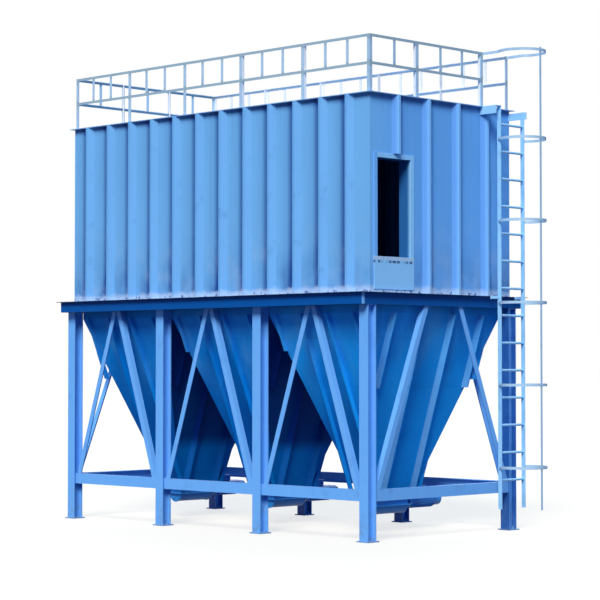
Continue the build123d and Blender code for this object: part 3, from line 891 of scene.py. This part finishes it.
# %% Model a fin and a terminal box
drive_low, drive_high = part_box("valve_drives")
drive_axis_z = (drive_low.z + drive_high.z) / 2
drive_radius = (drive_high.z - drive_low.z) / 2
gearbox_length = 0.11
cowl_length = 0.135
fin_start = drive_low.y + gearbox_length
fin_end = drive_high.y - cowl_length
fin_tip = drive_radius + 0.0108
lid_z = drive_radius + 0.062
lid_screw_x = 0.048
lid_screw_y = 0.058

fin = box_part((0.005, fin_end - fin_start, 0.016), (0, 0, drive_radius + 0.003), 0.0012)
pick(fin, lambda middle, normal: middle.z > fin_tip)
bpy.ops.transform.resize(value=(0.5, 1.0, 1.0))
bpy.ops.object.mode_set(mode="OBJECT")
casting = box_part((0.105, 0.125, 0.07), (0, 0, drive_radius + 0.025), 0.006)
lid = box_part((0.115, 0.135, 0.010), (0, 0, lid_z), 0.003)
screws = [placed(rod(10, 0.0045, 0.0, 0.003, 0.0008), turned((0, 0, 1), (dx, dy, lid_z + 0.005)))
          for dx in (-lid_screw_x, lid_screw_x) for dy in (-lid_screw_y, lid_screw_y)]
gland = placed(rod(6, 0.013, 0.0, 0.022, 0.002),
               turned((1, 0, 0), (0.0525, 0.03, drive_radius + 0.03)))
terminal = joined("terminal", casting, lid, *screws, gland)
print("fin", round(fin_end - fin_start, 3), "m long, terminal box modelled")

# %% [markdown]
# ## The wire guard over the fan
#
# Air enters the motor at its end, through a guard of bent wire. Three rings and three bars across
# them are enough to read as one. A torus is the natural start for a ring of wire. It is flattened
# a little, as wire is where it is welded down, and that needs all its faces picked.

# %% Model the wire guard over the fan
guard_rings = []
for radius in (0.022, 0.038, 0.054):
    bpy.ops.object.select_all(action="DESELECT")
    bpy.ops.mesh.primitive_torus_add(major_radius=radius, minor_radius=0.0022,
                                     major_segments=36, minor_segments=8)
    ring = bpy.context.object
    pick(ring, lambda middle, normal: True)
    bpy.ops.transform.resize(value=(1.0, 1.0, 0.7))
    bpy.ops.object.mode_set(mode="OBJECT")
    guard_rings.append(ring)
spoke = box_part((0.116, 0.004, 0.003), (0, 0, -0.0012), 0.0008)
spokes = [copied(spoke, "spoke", Matrix.Rotation(radians(turn), 4, "Z")) for turn in (60, 120)]
guard = joined("guard", *guard_rings, spoke, *spokes)
print("guard of", len(guard_rings), "rings")

# %% [markdown]
# ## Fitting the motors out
#
# The fins stand 12 degrees apart round the body, except under the terminal box. All three motors
# get the same parts. The angles are counted out in a loop, which leaves that gap by a simple test,
# where an array round the axis would have to be cut afterwards.

# %% Fit the motors out
fin_step = 12
under_box = 36
motor_paint = plain_paint("motor_paint", colour(40, 150, 230), scuffs=0.4, settled=0.45)
mid_y = (fin_start + fin_end) / 2
for number, x_at in enumerate((middle_x - bay, middle_x, middle_x + bay), 1):
    along = Matrix.Translation((x_at, mid_y, drive_axis_z))
    turns = [angle for angle in range(0, 360, fin_step)
             if abs((angle + 180) % 360 - 180) > under_box]
    fins = [along @ Matrix.Rotation(radians(angle), 4, "Y") for angle in turns]
    set_out(fin, f"motor_fins_{number}", motor_paint, fins)
    set_out(terminal, f"terminal_box_{number}", motor_paint, [along])
    set_out(guard, f"fan_guard_{number}", motor_paint,
            [turned((0, 1, 0), (x_at, drive_high.y, drive_axis_z))])
discard(fin, terminal, guard)

# %% [markdown]
# ## Feet under the railing's posts
#
# Each railing post stands on a small square plate that is welded to the roof. The plate is a
# bevelled box, and the fillet of weld round the post is a second one, with its top drawn in. A weld
# has ripples too, but from this distance its soft outline is all that shows.

# %% Stand the posts on plates
post_bays = 5
post_middle = 0.02
left_post_y = (-0.398, 0.358)
right_post_y = (-0.387, 0.680)

foot = box_part((0.074, 0.074, 0.006), (0, 0, 0.003), 0.001)
fillet = box_part((0.050, 0.050, 0.010), (0, 0, 0.010), 0.004)
pick(fillet, lambda middle, normal: middle.z > 0.0145)
bpy.ops.transform.resize(value=(0.84, 0.84, 1.0))
bpy.ops.object.mode_set(mode="OBJECT")
post_foot = joined("post_foot", foot, fillet)
for side in ("front", "back"):
    low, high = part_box(f"railing_{side}")
    step = (high.x - low.x) / post_bays
    places = []
    for i in range(post_bays + 1):
        inward = post_middle if i < 3 else -post_middle
        places.append(Matrix.Translation((low.x + i * step + inward, (low.y + high.y) / 2, roof_z)))
    set_out(post_foot, f"post_feet_{side}", rail_nut, places)
for side, post_y in (("left", left_post_y), ("right", right_post_y)):
    low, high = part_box(f"railing_{side}")
    places = [Matrix.Translation(((low.x + high.x) / 2, y_at, roof_z)) for y_at in post_y]
    set_out(post_foot, f"post_feet_{side}", rail_nut, places)
discard(post_foot)

# %% [markdown]
# ## The long rib of the first hopper
#
# The outer rib on the first hopper's front runs further down than those of its neighbours. It is a
# strip of three panels folded from sheet: a square flank, a narrow crest and a slanted facet. It is
# made as a smith would make it: a flat grid of three panels is folded along its lines, laid down
# the slope, and given the thickness of the sheet. A box would show no folds.

# %% Fold the rib's lower end
hopper_low, hopper_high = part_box("hopper_1")
flank_out = 0.587
slope_top = deck_z - 0.206
top_half_y = 1.085
foot_half_y = 0.280
lean = (top_half_y - foot_half_y) / (slope_top - foot_z)
flank_x = (hopper_low.x + hopper_high.x) / 2 - flank_out
rib_start = 0.400
rib_end = 0.715
folds = ((0.0, 0.0), (0.0, 0.060), (0.015, 0.060), (0.050, 0.0))

bpy.ops.object.select_all(action="DESELECT")
bpy.ops.mesh.primitive_grid_add(x_subdivisions=3, y_subdivisions=1, size=1.0)
rib = bpy.context.object
rib.name = "long_rib"
columns = sorted({round(vertex.co.x, 4) for vertex in rib.data.vertices})
for vertex in rib.data.vertices:
    across, out = folds[columns.index(round(vertex.co.x, 4))]
    drop = rib_start if vertex.co.y > 0 else rib_end
    vertex.co = (flank_x - across, -(top_half_y - lean * drop) - out, slope_top - drop)
sheet = rib.modifiers.new("sheet", "SOLIDIFY")
sheet.thickness = 0.005
sheet.offset = 0.0
choose(rib)
bpy.ops.object.modifier_apply(modifier=sheet.name)
rib.data.materials.append(nodes["hopper_1"].data.materials[0])
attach(rib, "root")
print("long rib", [round(v, 3) for v in rib.dimensions])

# %% [markdown]
# ## The floor
#
# The floor is plain and pale. To the camera it is nearly white, but the light that it throws back
# on the steel is weak, or the undersides would glow. One white plane can't do both, so its shader
# asks what kind of ray has met it, and glows only for the camera and for mirrored light.

# %% Lay the floor
bpy.ops.object.select_all(action="DESELECT")
bpy.ops.mesh.primitive_plane_add(size=400.0, location=(0, 0, 0))
floor = bpy.context.object
floor.name = "floor"
floor_material = bpy.data.materials.new("floor")
floor_material.use_nodes = True
floor_tree = floor_material.node_tree
floor_shader = floor_tree.nodes["Principled BSDF"]
floor_shader.inputs["Roughness"].default_value = 0.9
floor_shader.inputs["Specular IOR Level"].default_value = 0.0
light_path = floor_tree.nodes.new("ShaderNodeLightPath")
seen = Wire(floor_tree, light_path.outputs["Is Camera Ray"])
seen = seen.most(Wire(floor_tree, light_path.outputs["Is Glossy Ray"]))
join(floor_tree, seen.blend((0.08, 0.10, 0.14, 1), (0.30, 0.28, 0.22, 1)),
     floor_shader.inputs["Base Color"])
join(floor_tree, seen.blend((0, 0, 0, 1), (0.71, 0.715, 0.72, 1)),
     floor_shader.inputs["Emission Color"])
floor_shader.inputs["Emission Strength"].default_value = 1.0
floor.data.materials.append(floor_material)
print("floor laid")

# %% [markdown]
# ## The lamps and the sky
#
# A lamp with the spread of a hazy sun comes from the front right, high enough for the deck's lip to
# shade the beam below it. A weaker and softer one stands for the bright haze behind the machine. It
# lights mostly the sides that the viewer can't see. A faint blue sky fills the shadows. A picture
# of a real sky would light it all at once, but two lamps and one colour can each be set alone.

# %% Hang the lamps and the sky
lamp_right = 33.0
lamp_height = 42.0
haze_right = lamp_right + 190.0


def sun(name, right, energy, spread, tint):
    """A sun lamp from so many degrees to the right of the front, at the lamps' height."""
    light = bpy.data.lights.new(name, "SUN")
    light.energy = energy
    light.angle = radians(spread)
    light.color = tint
    holder = bpy.data.objects.new(name, light)
    holder.rotation_euler = (radians(90 - lamp_height), 0, radians(right))
    bpy.context.scene.collection.objects.link(holder)


sun("hazy_sun", lamp_right, 3.55, 25.0, (1.0, 0.98, 0.95))
sun("rear_haze", haze_right, 1.6, 50.0, (0.90, 0.95, 1.0))

world = bpy.data.worlds.new("sky")
world.use_nodes = True
bpy.context.scene.world = world
sky_tree = world.node_tree
background = sky_tree.nodes["Background"]
sky_path = sky_tree.nodes.new("ShaderNodeLightPath")
shown = Wire(sky_tree, sky_path.outputs["Is Camera Ray"])
sky_light = (0.11, 0.21, 0.45, 1)
join(sky_tree, shown.blend(sky_light, (1, 1, 1, 1)), background.inputs["Color"])
print("lamps and sky set")
